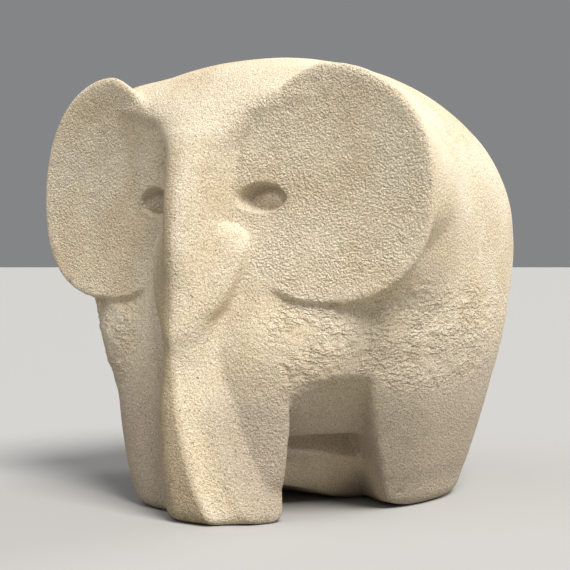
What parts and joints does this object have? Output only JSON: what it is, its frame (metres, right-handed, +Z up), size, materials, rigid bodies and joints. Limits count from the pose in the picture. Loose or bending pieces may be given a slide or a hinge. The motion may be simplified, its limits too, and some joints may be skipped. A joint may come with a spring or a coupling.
{
  "type": "elephant sculpture",
  "caption": "Stylised standing elephant carved from one block of sandstone, with wide dished ears, a blunt trunk down to the ground, short leaf-shaped tusks and an arched base.",
  "frame": {"origin": "on the ground under the middle of the carving's outer box", "axes": "+Z up, the elephant looks towards -Y, its left side is +X"},
  "size_m": [0.2921, 0.2802, 0.276],
  "materials": {
    "sandstone": "matt, sandy, lightly pitted"
  },
  "bodies": {
    "root": {"elephant": "sandstone"}
  },
  "joints": []
}
